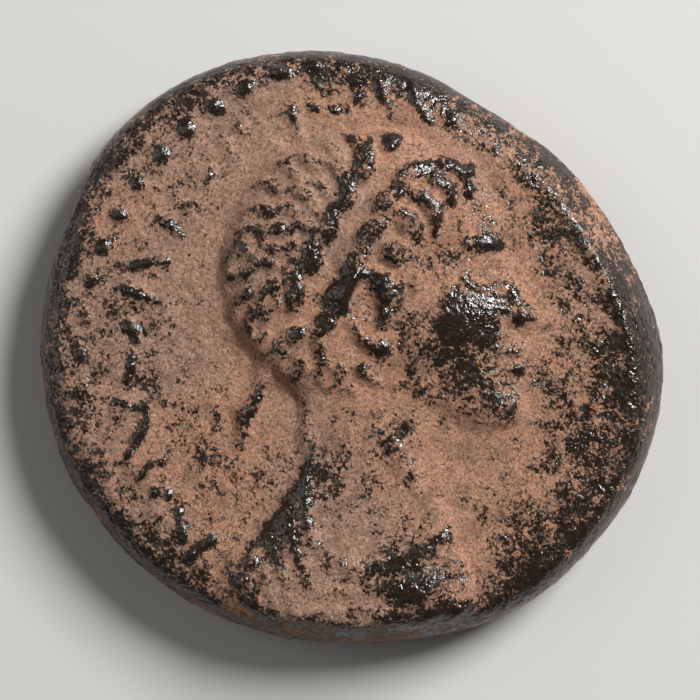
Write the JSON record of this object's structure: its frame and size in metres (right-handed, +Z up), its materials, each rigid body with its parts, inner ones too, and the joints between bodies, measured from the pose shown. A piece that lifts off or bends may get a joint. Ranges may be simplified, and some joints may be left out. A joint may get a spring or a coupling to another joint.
{
  "type": "ancient bronze coin",
  "caption": "Thick struck bronze coin with a laurelled head in relief, a plain wreath on its back and a sandy patina.",
  "frame": {"origin": "under the middle of the flan's outline, on the surface the coin lies on", "axes": "+Z up through the head side, +Y to the top of the head side, +X the way the head faces"},
  "size_m": [0.025, 0.0238, 0.0047],
  "materials": {
    "patinated_bronze": "matt sandy earth patina over worn, nearly black bronze"
  },
  "bodies": {
    "root": {"coin": "patinated_bronze"}
  },
  "joints": []
}
